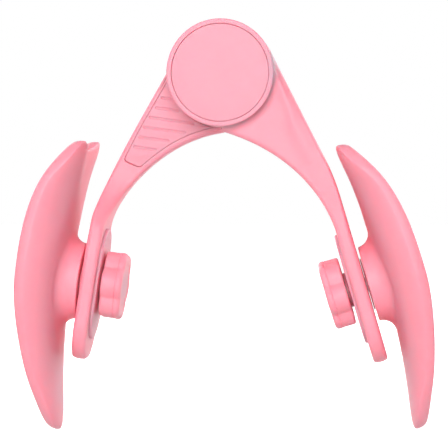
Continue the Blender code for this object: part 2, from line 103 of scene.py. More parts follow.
# %% Camera
SENSOR = 36.0
VIEW_WIDTH, VIEW_DISTANCE = 0.2374, 0.9
VIEW_TURN, VIEW_RISE = math.radians(4.2), math.radians(2.0)
AIM_RIGHT, AIM_BELOW_HUB = 0.0007, 0.0791
aim = Vector((hub_axis.x + AIM_RIGHT, 0, hub_axis.z - AIM_BELOW_HUB))
camera = bpy.data.objects.new("camera", bpy.data.cameras.new("camera"))
camera.data.sensor_width = SENSOR
camera.data.lens = SENSOR * VIEW_DISTANCE / VIEW_WIDTH
away = Vector((math.sin(VIEW_TURN) * math.cos(VIEW_RISE),
               -math.cos(VIEW_TURN) * math.cos(VIEW_RISE), math.sin(VIEW_RISE)))
camera.location = aim + away * VIEW_DISTANCE
camera.rotation_euler = away.to_track_quat("Z", "Y").to_euler()
bpy.context.scene.collection.objects.link(camera)
bpy.context.scene.camera = camera
print("lens", round(camera.data.lens, 1), "mm")

# %% [markdown]
# ## Studio
#
# The product hangs over a white sweep with nothing but white behind it. From the front, most of
# the light comes from one broad lamp, so faces that look forward are pale and those that turn
# away grow deeper. Two more lamps light the sides and the back, and the white surroundings fill
# the shadows. The sky is shown at full white but lights the object less than that, which keeps
# the background clean without flattening the shapes. The Standard view keeps the pink as clean
# as it is mixed.

# %% Floor, sky and lamps
SKY_SHOWN, SKY_LIGHT, PAPER_GLOW = 1.0, 0.42, 0.75
FLOOR = -0.035  # low enough for the pad tips to swing over it when the arms close
scene = bpy.context.scene
scene.view_settings.view_transform = "Standard"
world = bpy.data.worlds.new("white_sky")
world.use_nodes = True
sky = world.node_tree
sky.nodes["Background"].inputs["Color"].default_value = (1.0, 1.0, 1.0, 1.0)
seen = sky.nodes.new("ShaderNodeLightPath")
strength = sky.nodes.new("ShaderNodeMapRange")
strength.inputs["To Min"].default_value = SKY_LIGHT
strength.inputs["To Max"].default_value = SKY_SHOWN
sky.links.new(seen.outputs["Is Camera Ray"], strength.inputs["Value"])
sky.links.new(strength.outputs["Result"], sky.nodes["Background"].inputs["Strength"])
scene.world = world

bpy.ops.mesh.primitive_plane_add(size=8.0, location=(0, 0, FLOOR))
floor = bpy.context.object
floor.name = "studio_floor"
paper = bpy.data.materials.new("white_paper")
paper.use_nodes = True
sheet = paper.node_tree.nodes["Principled BSDF"]
sheet.inputs["Base Color"].default_value = (0.8, 0.8, 0.8, 1.0)
sheet.inputs["Roughness"].default_value = 0.9
sheet.inputs["Emission Color"].default_value = (1.0, 1.0, 1.0, 1.0)
sheet.inputs["Emission Strength"].default_value = PAPER_GLOW
floor.data.materials.append(paper)
floor.visible_diffuse = False  # it is seen, but sends no light up


def softbox(name, place, power, size):
    """A square lamp of this many watts and metres, turned towards the middle of the view."""
    lamp = bpy.data.lights.new(name, "AREA")
    lamp.energy = power
    lamp.size = size
    made = bpy.data.objects.new(name, lamp)
    made.location = place
    made.rotation_euler = (Vector(place) - aim).to_track_quat("Z", "Y").to_euler()
    scene.collection.objects.link(made)


softbox("key", (-0.05, -1.35, 0.5), 21.0, 1.0)
for way, name in ((-1, "back_left"), (1, "back_right")):
    softbox(name, (0.95 * way, 1.2, 0.6), 13.0, 1.0)

# %% [markdown]
# ## Finishes
#
# Nearly everything that shows is one moulded, dyed-through plastic with a satin skin. Its grain
# comes from the steel mould: a fine noise drives a very small bump and the roughness, and a slow
# noise shifts the pink by a few per cent, as pigment does. Much of the light goes in under the
# surface and comes out further on, red the furthest, so hollows turn a warmer pink.

# %% A helper for noise-driven finishes
ROUGHNESS_SPREAD, RELIEF_STRENGTH = 0.08, 0.35


def finish(name, colour, roughness, metallic=0.0, grain=2500.0, bump=0.004, drift=0.04,
           drift_scale=30.0, stretch=(1, 1, 1)):
    """A material whose roughness, tone and fine relief all follow noise in the object's own space."""
    made = bpy.data.materials.new(name)
    made.use_nodes = True
    tree = made.node_tree
    shader = tree.nodes["Principled BSDF"]
    shader.inputs["Metallic"].default_value = metallic
    place = tree.nodes.new("ShaderNodeTexCoord")
    stretched = tree.nodes.new("ShaderNodeMapping")
    stretched.inputs["Scale"].default_value = stretch
    tree.links.new(place.outputs["Object"], stretched.inputs["Vector"])

    fine = tree.nodes.new("ShaderNodeTexNoise")
    fine.inputs["Scale"].default_value = grain
    fine.inputs["Detail"].default_value = 2.0
    tree.links.new(stretched.outputs["Vector"], fine.inputs["Vector"])
    slow = tree.nodes.new("ShaderNodeTexNoise")
    slow.inputs["Scale"].default_value = drift_scale
    slow.inputs["Detail"].default_value = 3.0
    tree.links.new(stretched.outputs["Vector"], slow.inputs["Vector"])

    tone = tree.nodes.new("ShaderNodeMix")
    tone.data_type = "RGBA"
    tone.inputs["A"].default_value = (*[c * (1 - drift) for c in colour], 1.0)
    tone.inputs["B"].default_value = (*[min(c * (1 + drift), 1.0) for c in colour], 1.0)
    tree.links.new(slow.outputs["Fac"], tone.inputs["Factor"])
    tree.links.new(tone.outputs["Result"], shader.inputs["Base Color"])

    satin = tree.nodes.new("ShaderNodeMapRange")
    satin.inputs["To Min"].default_value = roughness - ROUGHNESS_SPREAD
    satin.inputs["To Max"].default_value = roughness + ROUGHNESS_SPREAD
    tree.links.new(fine.outputs["Fac"], satin.inputs["Value"])
    tree.links.new(satin.outputs["Result"], shader.inputs["Roughness"])

    relief = tree.nodes.new("ShaderNodeBump")
    relief.inputs["Strength"].default_value = RELIEF_STRENGTH
    relief.inputs["Distance"].default_value = bump * MM
    tree.links.new(fine.outputs["Fac"], relief.inputs["Height"])
    tree.links.new(relief.outputs["Normal"], shader.inputs["Normal"])
    return made


PINK = (1.0, 0.30, 0.375)
moulded = finish("satin_pink_moulding", PINK, 0.5, bump=0.01, drift=0.02)
moulded_shader = moulded.node_tree.nodes["Principled BSDF"]
moulded_shader.inputs["Subsurface Weight"].default_value = 0.7
moulded_shader.inputs["Subsurface Radius"].default_value = (1.0, 0.18, 0.24)
moulded_shader.inputs["Subsurface Scale"].default_value = 0.01
skin = finish("soft_pink_skin", (0.93, 0.33, 0.42), 0.72, grain=1400.0, bump=0.06, drift=0.05)
steel = finish("zinc_steel", (0.62, 0.63, 0.65), 0.3, 1.0, 900.0, 0.004, 0.06, 120.0)
spring_steel = finish("oiled_spring_steel", (0.28, 0.29, 0.31), 0.35, 1.0, 1500.0, 0.006, 0.1)
brass = finish("turned_brass", (0.80, 0.58, 0.26), 0.28, 1.0, 1200.0, 0.004, 0.06)
nylon = finish("natural_nylon", (0.86, 0.84, 0.78), 0.45, 0.0, 1200.0, 0.01, 0.03)
rubber = finish("soft_washer_rubber", (0.80, 0.26, 0.34), 0.8, 0.0, 1600.0, 0.03, 0.08)
print(len(bpy.data.materials), "finishes")

# %% [markdown]
# ## Mesh helpers
#
# A moulding's changing sections are lofted: one closed ring of points after another, skinned
# with quads. Turned pieces are a profile swept round an axis. Both build straight from the
# shape's own sizes in millimetres, and a matrix puts them in place.

# %% Lofts and turned pieces
MERGE = 1e-4  # points this close, in millimetres, become one
SHARP = 35  # edges that bend by more than this many degrees stay sharp


def mesh_object(name, shape, matrix, surface, sharp=SHARP):
    """A bmesh in millimetres as a smooth object in the row frame."""
    bmesh.ops.remove_doubles(shape, verts=shape.verts, dist=MERGE)
    bmesh.ops.recalc_face_normals(shape, faces=shape.faces)
    shape.transform(matrix)
    mesh = bpy.data.meshes.new(name)
    shape.to_mesh(mesh)
    shape.free()
    made = bpy.data.objects.new(name, mesh)
    mesh.materials.append(surface)
    mesh.shade_smooth()
    mesh.set_sharp_from_angle(angle=math.radians(sharp))
    scene.collection.objects.link(made)
    return made


def skin_rings(shape, rings, closed=False, capped=True):
    """Quads between neighbouring rings of equal length, added to the bmesh."""
    rows = [[shape.verts.new(p) for p in ring] for ring in rings]
    pairs = list(zip(rows, rows[1:] + rows[:1] if closed else rows[1:]))
    for a, b in pairs:
        for j in range(len(a)):
            k = (j + 1) % len(a)
            shape.faces.new((a[j], a[k], b[k], b[j]))
    if capped and not closed:
        shape.faces.new(list(reversed(rows[0])))
        shape.faces.new(rows[-1])


def turn_rings(profile, count, along="y"):
    """Rings of a turned piece: profile is a list of (radius, place along the axis)."""
    rings = []
    for i in range(count):
        angle = 2 * math.pi * i / count
        c, s = math.cos(angle), math.sin(angle)
        if along == "y":
            rings.append([(r * c, place, r * s) for r, place in profile])
        else:
            rings.append([(place, r * c, r * s) for r, place in profile])
    return rings


def turned(name, profile, matrix, surface, count=96, along="y"):
    """A closed profile turned round the axis. A profile that never meets the axis leaves a hole."""
    shape = bmesh.new()
    skin_rings(shape, turn_rings(profile, count, along), closed=True)
    return mesh_object(name, shape, matrix, surface)


def arc(centre, radius, start, end, steps=5):
    """Points of an arc in a profile's plane, with angles in degrees."""
    return [(centre[0] + radius * math.cos(math.radians(a)),
             centre[1] + radius * math.sin(math.radians(a)))
            for a in np.linspace(start, end, steps + 1)]


def smooth_step(x):
    x = min(max(x, 0.0), 1.0)
    return x * x * (3 - 2 * x)


def finished(made, body, *nodes, slot="soft_touch_pink"):
    """The piece rides on its body and stands for its CAD nodes. The slot argument is not used."""
    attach(made, body)
    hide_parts(*nodes)
    print(made.name, len(made.data.polygons), "faces")
    return made

# %% [markdown]
# ## The arms' lines
#
# An arm is an elbow drawn by two edges. The outer edge leaves the hub as a tangent, runs
# straight, bends once and ends parallel to the paddle. The inner edge springs from a cusp below
# the hub and is one easy arch. Two lines and one Bezier curve hold the whole silhouette, so they
# are kept as functions of t, from 0 at the hub to 1 at the paddle.

# %% Sizes of the hub and the arms, in millimetres
HUB_R, HUB_FACE, HUB_SPLIT = 27.9, 20.0, 0.9
CAP_R, CAP_OUT, CAP_IN = 25.1, 19.6, 17.2
GAP = 0.3
ARM_FRONT, ARM_BACK = 15.0, 1.2
PADDLE_HALF, PADDLE_THICK, NECK_THICK = 20.0, 7.5, 7.2
PADDLE_TOP, PADDLE_END = 31.0, 41.2
EDGE_ROUND = 2.4
ROOT = {"right": 27.0, "left": 29.8}
EDGE_OFFSET = {"right": 28.1, "left": 26.7}
BEND = {"right": (10.0, 11.0), "left": (46.0, 14.0)}
CUSP = {"right": 30.2, "left": 30.6}
ARCH = {"right": (16.0, 44.0, 12.0), "left": (8.0, 38.0, 10.0)}


def compass(degrees):
    """The unit vector at this angle in an arm's X-Z plane."""
    return np.array([math.cos(math.radians(degrees)), math.sin(math.radians(degrees))])


def arm_edges(side):
    """The outer and the inner edge as functions of t, and the directions down and out at the paddle."""
    across, along = compass(ROOT[side]), compass(ROOT[side] - 90)
    out, down = compass(TILT[side]), compass(TILT[side] - 90)
    bolt, start = bolt_at[side], EDGE_OFFSET[side] * across
    first, second = np.linalg.solve(np.array([along, down]).T, bolt - start)
    corner = start + along * first
    before, after = BEND[side]

    def outer(t):
        s = t * (first + second - PADDLE_TOP) - first
        if s < -before:
            return corner + along * s
        if s > after:
            return corner + down * s
        u = (s + before) / (before + after)
        return corner - along * before * (1 - u) ** 2 + down * after * u**2

    arch, reach, tail = ARCH[side]
    end = bolt - down * PADDLE_TOP - out * NECK_THICK
    cusp = np.array([0.0, -CUSP[side]])
    pull = cusp + reach * compass(-arch)

    def inner(t):
        return ((1 - t) ** 3 * cusp + 3 * (1 - t) ** 2 * t * pull
                + 3 * (1 - t) * t**2 * (end - tail * down) + t**3 * end)

    return outer, inner, down, out


edges = {side: arm_edges(side) for side in SIDES}
for side in SIDES:
    outer, inner, *_ = edges[side]
    wide = float(np.linalg.norm(outer(0.5) - inner(0.5)))
    print(side, "arm is", round(wide, 1), "mm wide half way down")

# %% [markdown]
# ## The arms' surface
#
# The front of a real arm isn't a flat plate. It meets the hub ring in a hollow fillet, carries a
# soft ridge that runs beside the outer edge and fades half way down, and widens to the paddle.
# The back carries a gentler ridge beside the inner edge. So each arm is a loft of many close
# sections, and every point's depth comes from a few smooth formulas of where it is.

# %% Depth of the arm's faces
FILLET = 3.6  # radius of the hollow between the ring and the arm
FILLET_TOP = 1.0  # the fillet ends this far below the ring's face
ARM_RUN = 103.5  # the arm's length from the hub to the paddle's top
RISE_BEFORE, RISE_LENGTH = 48.0, 66.0  # the widening starts this far above the paddle's top
ROOT_SWELL, ROOT_RUN, ROOT_WIDTH = 1.8, 0.2, 12.0  # the arm is fuller where it leaves the ring
RIDGE_HEIGHT, RIDGE_FROM_EDGE, RIDGE_WIDTH = 1.5, 9.5, 7.0
RIDGE_FADE_FROM, RIDGE_FADE_RUN = 0.3, 0.4  # shares of the arm's length
RIDGE_LEVEL = 0.6  # the face beside the ridge sinks by this share of the ridge's height
BACK_HOLLOW, BACK_RIDGE_FROM_EDGE, BACK_RIDGE_WIDTH = 1.1, 4.5, 3.5
BACK_FROM, BACK_FROM_RUN, BACK_TO, BACK_TO_RUN = 0.56, 0.12, 0.8, 0.2  # shares of the length


def widening(below_top):
    """How far the arm has widened towards its paddle, by the distance below the paddle's top."""
    return smooth_step((below_top + RISE_BEFORE) / RISE_LENGTH)


def arm_front(t, place, from_outer):
    """Depth of the front face: its ridge, and the fillet up the hub ring's wall."""
    depth = ARM_FRONT + (PADDLE_HALF - ARM_FRONT) * widening((t - 1) * ARM_RUN)
    depth += ROOT_SWELL * (1 - smooth_step(t / ROOT_RUN)) * math.exp(-((from_outer / ROOT_WIDTH) ** 2))
    fade = 1 - smooth_step((t - RIDGE_FADE_FROM) / RIDGE_FADE_RUN)
    ridge = math.exp(-((from_outer - RIDGE_FROM_EDGE) / RIDGE_WIDTH) ** 2)
    depth += RIDGE_HEIGHT * fade * (ridge - RIDGE_LEVEL)
    near = FILLET - (float(np.linalg.norm(place)) - HUB_R)
    if near > 0:
        rise = FILLET - math.sqrt(max(FILLET**2 - min(near, FILLET) ** 2, 0.0))
        depth = max(depth, min(depth + rise, HUB_FACE - FILLET_TOP))
    return -depth


def arm_back(t, from_inner):
    """Depth of the back face: thin at the hub, half a paddle at the pad, with a soft inner ridge."""
    depth = -ARM_BACK + (PADDLE_HALF + ARM_BACK) * widening((t - 1) * ARM_RUN)
    swell = (smooth_step((t - BACK_FROM) / BACK_FROM_RUN)
             * (1 - smooth_step((t - BACK_TO) / BACK_TO_RUN)))
    ridge = math.exp(-((from_inner - BACK_RIDGE_FROM_EDGE) / BACK_RIDGE_WIDTH) ** 2)
    return depth - BACK_HOLLOW * swell * (1 - ridge)


def arm_section(front_of, back_of, point_at, width, most_round=EDGE_ROUND, across=22, corner_steps=5):
    """One closed section: across the front from the outer edge inwards, and back behind."""
    front = []
    radius = min(most_round, 0.45 * width)
    stops = [(radius * (1 - math.cos(a)), radius * (1 - math.sin(a)))
             for a in np.linspace(0, math.pi / 2, corner_steps + 1)]
    for s, drop in stops:
        front.append((s, drop))
    for s in np.linspace(radius, width - radius, across + 1)[1:-1]:
        front.append((float(s), 0.0))
    for s, drop in reversed(stops):
        front.append((width - s, drop))
    ring = []
    for s, drop in front:
        x, z = point_at(s / width)
        ring.append((x, front_of(np.array((x, z)), s) + drop, z))
    for s, drop in reversed(front):
        x, z = point_at(s / width)
        ring.append((x, back_of(width - s) - drop, z))
    return ring


print("the arm's front is", ARM_FRONT, "mm deep at the hub and", PADDLE_HALF, "mm at the paddle")

# %% [markdown]
# ## One arm, from ring to paddle
#
# The first section is bent round the hub's circle, so that the arm grows out of the ring's wall
# and leaves the spring chamber empty. That bend fades over the first third of the arm. Below the
# straight part the paddle is a flat bar on edge with a half-round end. The ring itself is turned.

# %% Loft the arm
ROWS, ROW_CROWDING = 84, 1.35  # more than 1 puts the sections closer together near the hub
INSIDE_RING = 26.3  # the arm starts within the ring's wall
BEND_RUN, BEND_EASE, EDGE_BEND_RUN = 0.42, 1.2, 0.03  # how far down the bend fades, as shares
PADDLE_ROWS, PADDLE_START, THICKENING = 34, 1.5, 10  # it thickens over its first 10 mm
ROUND_END = (0, *range(12, 60, 8), *range(60, 89, 4))  # degrees, closer towards the tip


def arm_loft(side):
    """The arm and its paddle as one closed loft, in the arm's axes."""
    outer, inner, down, out = edges[side]
    arc_start, arc_end = ROOT[side], -90.0
    rings = []
    for i in range(ROWS + 1):
        t = (i / ROWS) ** ROW_CROWDING
        slow = (1 - smooth_step(t / BEND_RUN)) ** BEND_EASE
        quick = 1 - smooth_step(t / EDGE_BEND_RUN)
        a, b = outer(t), inner(t)

        def point_at(u, a=a, b=b, slow=slow, quick=quick):
            first = outer(0.0) * (1 - u) + inner(0.0) * u
            on_ring = INSIDE_RING * compass(arc_start + (arc_end - arc_start) * u)
            inside = smooth_step(6 * min(u, 1 - u))
            bend = slow * inside + (quick * (1 - inside) if u < 0.5 else 0.0)
            return a * (1 - u) + b * u + (on_ring - first) * bend

        width = float(np.linalg.norm(a - b))
        rings.append(arm_section(lambda place, s, t=t: arm_front(t, place, s),
                                 lambda s, t=t: arm_back(t, s), point_at, width))
    straight = PADDLE_END - PADDLE_HALF
    upper = np.linspace(-PADDLE_TOP + PADDLE_START, straight, PADDLE_ROWS)[:-1]
    for d in [*upper, *[straight + PADDLE_HALF * math.sin(math.radians(a)) for a in ROUND_END]]:
        past = max(d - straight, 0.0)
        reach = math.sqrt(PADDLE_HALF**2 - past**2)
        wider = widening(d + PADDLE_TOP)
        depth = reach * (ARM_FRONT + (PADDLE_HALF - ARM_FRONT) * wider) / PADDLE_HALF
        behind = reach * (-ARM_BACK + (PADDLE_HALF + ARM_BACK) * wider) / PADDLE_HALF
        thick = NECK_THICK + (PADDLE_THICK - NECK_THICK) * smooth_step((d + PADDLE_TOP) / THICKENING)
        tip = EDGE_ROUND - min(PADDLE_END - d, EDGE_ROUND)
        inset = EDGE_ROUND - math.sqrt(EDGE_ROUND**2 - tip**2)
        place = bolt_at[side] + down * d

        def point_at(u, place=place, thick=thick, inset=inset):
            return place - out * (inset + (thick - 2 * inset) * u)

        rings.append(arm_section(lambda place, s, depth=depth: -depth, lambda s, behind=behind: behind,
                                 point_at, thick - 2 * inset, min(EDGE_ROUND, 0.9 * reach)))
    shape = bmesh.new()
    skin_rings(shape, rings)
    return shape


print("an arm is lofted through", ROWS + PADDLE_ROWS + len(ROUND_END), "sections")

# %% [markdown]
# ## The rib cover's outline
#
# A panel with shallow grooves is set into the back of each arm, over the spring's leg. It keeps
# an even border to the arm's edges and follows the ring at its top, and its lower corners are
# rounded. The same outline, a little larger, cuts the recess that it lies in, which leaves the
# fine dark line round a fitted panel.

# %% Outline of the rib cover
COVER_THICK, COVER_BORDER, COVER_TOP_R = 2.0, 3.6, 28.5
COVER_OUTER_START, COVER_INNER_START = 0.12, 0.03  # shares of the arm's length, as are the next
COVER_OUTER_END, COVER_INNER_END, COVER_FOOT_GAP = 0.545, 0.475, 0.03
CORNER_R, COVER_SNUG = 2.2, 0.16


def rounded_polygon_corner(before, corner, after, radius, steps=6):
    """A quadratic arc that cuts a polygon's corner at this distance."""
    a = corner + radius * (before - corner) / np.linalg.norm(before - corner)
    b = corner + radius * (after - corner) / np.linalg.norm(after - corner)
    return [(1 - u) ** 2 * a + 2 * (1 - u) * u * corner + u**2 * b
            for u in np.linspace(0, 1, steps + 1)]


def cover_outline(side, grow=0.0):
    """The cover's closed outline in the arm's X-Z plane, grown by this much."""
    outer, inner, *_ = edges[side]

    def inset(t, from_outer):
        a, b = outer(t), inner(t)
        step = (b - a) / np.linalg.norm(b - a) * (COVER_BORDER - grow)
        return a + step if from_outer else b - step

    top_r = COVER_TOP_R - grow
    low = COVER_FOOT_GAP * grow
    down_outer = np.linspace(COVER_OUTER_START, COVER_OUTER_END + low, 40)
    up_inner = np.linspace(COVER_INNER_END + low, COVER_INNER_START, 60)
    outside = [p for p in (inset(t, True) for t in down_outer) if np.linalg.norm(p) > top_r]
    inside = [p for p in (inset(t, False) for t in up_inner) if np.linalg.norm(p) > top_r]
    bottom = (rounded_polygon_corner(outside[-4], outside[-1], inside[0], CORNER_R + grow)
              + rounded_polygon_corner(outside[-1], inside[0], inside[4], CORNER_R + grow))
    keep_out = [p for p in outside if np.linalg.norm(p - outside[-1]) > CORNER_R + grow]
    keep_in = [p for p in inside if np.linalg.norm(p - inside[0]) > CORNER_R + grow]
    start, end = math.atan2(*keep_in[-1][::-1]), math.atan2(*keep_out[0][::-1])
    top = [top_r * np.array((math.cos(a), math.sin(a))) for a in np.linspace(start, end, 40)[1:-1]]
    return keep_out + bottom + keep_in + top


def slab_between(outlines):
    """A flat solid through (outline, depth) levels, as a bmesh in the arm's axes."""
    shape = bmesh.new()
    skin_rings(shape, [[(x, depth, z) for x, z in outline] for outline, depth in outlines])
    return shape


def carve(target, *tools):
    """Cuts the tools away from the piece, and removes them."""
    for tool in tools:
        cut = target.modifiers.new("cut", "BOOLEAN")
        cut.object = tool
        cut.operation = "DIFFERENCE"
        cut.solver = "EXACT"
    bpy.context.view_layer.update()
    evaluated = target.evaluated_get(bpy.context.evaluated_depsgraph_get())
    carved = bpy.data.meshes.new_from_object(evaluated)
    target.modifiers.clear()
    target.data = carved
    carved.shade_smooth()
    carved.set_sharp_from_angle(angle=math.radians(SHARP))
    for tool in tools:
        bpy.data.objects.remove(tool)
    return target


def joined(first, *others):
    """Adds the other meshes to the first piece."""
    shape = bmesh.new()
    for made in (first, *others):
        shape.from_mesh(made.data)
    shape.to_mesh(first.data)
    shape.free()
    for made in others:
        bpy.data.objects.remove(made)
    first.data.set_sharp_from_angle(angle=math.radians(SHARP))
    return first


print("a cover's outline has", len(cover_outline("left")), "points")

# %% [markdown]
# ## The finished arms
#
# The ring is turned, with a round outer lip and a finer inner one round the cap's pocket. A
# raised foot with round ends stands on the paddle's inner side, where the knob bears. The cover's
# recess, the slot for the spring's leg and the bolt's hole are cut last.

# %% Ring, raised foot and arm
RING_LIP, RING_INNER_LIP = 0.9, 0.3
POCKET_R, WEB_OUT, WEB_IN, CAVITY_R, BOLT_HOLE_R = 12.0, 12.6, 9.8, 22.6, 4.3
FOOT_RISE, FOOT_HALF, FOOT_R, FOOT_ROUND, FOOT_SUNK = 1.5, 29.7, 16.0, 0.9, 1.0
COIL_R, COIL_END, LEG, CHANNEL = 16.0, 7.45, 42.0, 5.0
CUT_IN, CUT_OUT = -12.0, 3.0  # the cutters' ends, past the faces that they open

ring_profile = [(HUB_R, -HUB_SPLIT)]
ring_profile += arc((HUB_R - RING_LIP, -HUB_FACE + RING_LIP), RING_LIP, 0, -90, 7)
inner_lip = (CAP_R + GAP + RING_INNER_LIP, -HUB_FACE + RING_INNER_LIP)
ring_profile += arc(inner_lip, RING_INNER_LIP, -90, -180, 4)
ring_profile += [(CAP_R + GAP, -CAP_IN + GAP), (POCKET_R, -CAP_IN + GAP), (POCKET_R, -WEB_OUT),
                 (BOLT_HOLE_R, -WEB_OUT), (BOLT_HOLE_R, -WEB_IN), (CAVITY_R, -WEB_IN),
                 (CAVITY_R, -HUB_SPLIT)]


def foot_outline(shrink):
    """The raised foot's outline with round ends, in the paddle's Y-Z."""
    radius, half = FOOT_R - shrink, FOOT_HALF - FOOT_R
    ends = [(a, half) for a in np.linspace(0, 180, 25)]
    ends += [(a, -half) for a in np.linspace(180, 360, 25)]
    return [(radius * math.cos(math.radians(a)), radius * math.sin(math.radians(a)) + shift)
            for a, shift in ends]


def raised_foot(side):
    """The foot the knob bears on, with a rounded edge."""
    levels = [(-PADDLE_THICK + FOOT_SUNK, 0.0)]
    levels += [(-PADDLE_THICK - FOOT_RISE + FOOT_ROUND * (1 - math.sin(a)),
                FOOT_ROUND * (1 - math.cos(a))) for a in np.linspace(0, math.pi / 2, 5)]
    shape = bmesh.new()
    skin_rings(shape, [[(x, y, z) for y, z in foot_outline(shrink)] for x, shrink in levels])
    return mesh_object(f"{side}_foot", shape, paddle_axes[side], moulded)


def leg_channel(side):
    """The cutter for the slot that holds the spring's leg."""
    along, across = compass(ROOT[side] - 90), compass(ROOT[side])
    start, end = across * COIL_R - along * 2, across * COIL_R + along * (LEG + 3)
    half = across * CHANNEL / 2
    box = (start - half, start + half, end + half, end - half)
    shape = slab_between([(box, -COIL_END - CHANNEL / 2), (box, 0.5)])
    return mesh_object("channel", shape, arm_axes[side], moulded)


bolt_hole = [(0.0, CUT_IN), (BOLT_HOLE_R, CUT_IN), (BOLT_HOLE_R, CUT_OUT), (0.0, CUT_OUT)]
for side in SIDES:
    arm = mesh_object(f"{side}_arm_shell", arm_loft(side), arm_axes[side], moulded)
    grown = cover_outline(side, GAP)
    recess_levels = [(grown, -ARM_BACK - COVER_THICK - GAP), (grown, CUT_OUT)]
    recess = mesh_object("recess", slab_between(recess_levels), arm_axes[side], moulded)
    foot = raised_foot(side)
    carve(arm, recess, leg_channel(side),
          turned("hole", bolt_hole, paddle_axes[side], moulded, 48, "x"))
    carve(foot, turned("hole", bolt_hole, paddle_axes[side], moulded, 48, "x"))
    ring = turned(f"{side}_ring", ring_profile, arm_axes[side], moulded, 180)
    finished(joined(arm, ring, foot), f"{side}_arm", f"{side}_arm")

# %% [markdown]
# ## Rib covers
#
# The grooves are shallow half-round channels, about 5.6 mm apart, that slope a little and stop
# just short of the panel's border. Each one is found by walking along its line until it leaves
# the outline, so that the grooves shorten with the panel by themselves.

# %% Covers with their grooves
GROOVE_PITCH, GROOVE_SLOPE, GROOVE_COUNT = 5.6, math.tan(math.radians(8)), 8
GROOVE_R, GROOVE_DEPTH, GROOVE_BORDER, FIRST_GROOVE = 1.0, 0.55, 1.3, 4.6
COVER_EDGE_ROUND, COVER_HALF_WIDTH = 0.45, 11.0
WALK_STEP, WALK_END, FEWEST_STEPS = 0.25, 80, 12  # the walk along a groove's line, in millimetres


def inside_outline(point, outline):
    """Even-odd test of a point in a closed outline."""
    inside = False
    for (xa, za), (xb, zb) in zip(outline, outline[1:] + outline[:1]):
        if (za > point[1]) != (zb > point[1]):
            if point[0] < (xb - xa) * (point[1] - za) / (zb - za) + xa:
                inside = not inside
    return inside


def groove_tool(shape, start, end):
    """A round-nosed bar between two points, half sunk into the cover's face, added to the bmesh."""
    along = (end - start) / np.linalg.norm(end - start)
    stops = [(-GROOVE_R * math.cos(a), math.sin(a)) for a in np.linspace(0.15, math.pi / 2, 5)]
    places = [(start + along * (GROOVE_R + s), r) for s, r in stops]
    places += [(end - along * (GROOVE_R + s), r) for s, r in reversed(stops)]
    normal = np.array((-along[1], along[0]))
    depth = -ARM_BACK - GROOVE_DEPTH + GROOVE_R
    rings = []
    for place, share in places:
        ring = []
        for i in range(16):
            angle = 2 * math.pi * i / 16
            x, z = place + normal * GROOVE_R * share * math.cos(angle)
            ring.append((x, depth + GROOVE_R * share * math.sin(angle), z))
        rings.append(ring)
    skin_rings(shape, rings)


for side in SIDES:
    outline, border = cover_outline(side, COVER_SNUG), cover_outline(side, -GROOVE_BORDER)
    middle = np.mean(outline, axis=0)
    levels = [(outline, -ARM_BACK - COVER_THICK)]
    for a in np.linspace(0, math.pi / 2, 4):
        shrink = 1 - COVER_EDGE_ROUND * (1 - math.cos(a)) / COVER_HALF_WIDTH
        levels.append(([middle + (p - middle) * shrink for p in outline],
                       -ARM_BACK - COVER_EDGE_ROUND * (1 - math.sin(a))))
    cover = mesh_object(f"{side}_rib_cover", slab_between(levels), arm_axes[side], moulded)
    low = min(outline, key=lambda p: p[1])
    shape = bmesh.new()
    for k in range(GROOVE_COUNT):
        height = low[1] + FIRST_GROOVE + GROOVE_PITCH * k
        line = [np.array((x, height + GROOVE_SLOPE * (x - low[0])))
                for x in np.arange(0, WALK_END, WALK_STEP)]
        hits = [p for p in line if inside_outline(p, border)]
        if len(hits) > FEWEST_STEPS:
            groove_tool(shape, hits[0], hits[-1])
    carve(cover, mesh_object("grooves", shape, arm_axes[side], moulded))
    finished(cover, f"{side}_arm", f"{side}_arm_cover")

# %% [markdown]
# ## Hub caps
#
# A thin flat disc snaps into each ring. Its rim is broken by a small radius, and the gap to the
# ring's own lip draws the fine circle round it. The short skirt behind grips the washer.

# %% Turn the caps
SKIRT_OUT, SKIRT_IN, SKIRT_END, CAP_LIP, CAP_RIM = 11.6, 10.2, 14.6, 0.3, 25.22
cap_profile = [(0.0, -CAP_OUT), (CAP_R * 0.5, -CAP_OUT)]
cap_profile += arc((CAP_RIM - CAP_LIP, -CAP_OUT + CAP_LIP), CAP_LIP, -90, 0, 4)
cap_profile += [(CAP_RIM, -CAP_IN), (SKIRT_OUT, -CAP_IN), (SKIRT_OUT, -SKIRT_END),
                (SKIRT_IN, -SKIRT_END), (SKIRT_IN, -CAP_IN), (0.0, -CAP_IN)]
for side, name in (("right", "front_cap"), ("left", "rear_cap")):
    finished(turned(f"{name}_disc", cap_profile, arm_axes[side], moulded, 160), f"{side}_arm", name)

# %% [markdown]
# ## The torsion spring
#
# Three turns of round wire lie over the hub's axis, and a straight leg runs down a slot in each
# arm. When the arms open the coil winds up, but here the wire is built once in its resting shape
# and rides on neither arm.

# %% Wind the spring
WIRE_R, COIL_TURNS, TURN_STEPS, WIRE_SIDES = 2.0, 3, 48, 16
right_root, left_root = math.radians(ROOT["right"]), math.radians(ROOT["left"])


def spring_line():
    """The wire's middle line about the hub axis, in millimetres."""
    line = []
    for s in np.linspace(LEG, 1, 12):
        line.append((-COIL_R * math.cos(left_root) - s * math.sin(left_root), COIL_END,
                     COIL_R * math.sin(left_root) - s * math.cos(left_root)))
    first, last = math.pi - left_root, right_root - 2 * math.pi * COIL_TURNS
    steps = TURN_STEPS * COIL_TURNS
    for i in range(steps + 1):
        angle = first + (last - first) * i / steps
        line.append((COIL_R * math.cos(angle), COIL_END - 2 * COIL_END * i / steps,
                     COIL_R * math.sin(angle)))
    for s in np.linspace(1, LEG, 12):
        line.append((COIL_R * math.cos(right_root) + s * math.sin(right_root), -COIL_END,
                     COIL_R * math.sin(right_root) - s * math.cos(right_root)))
    return [np.array(p) for p in line]


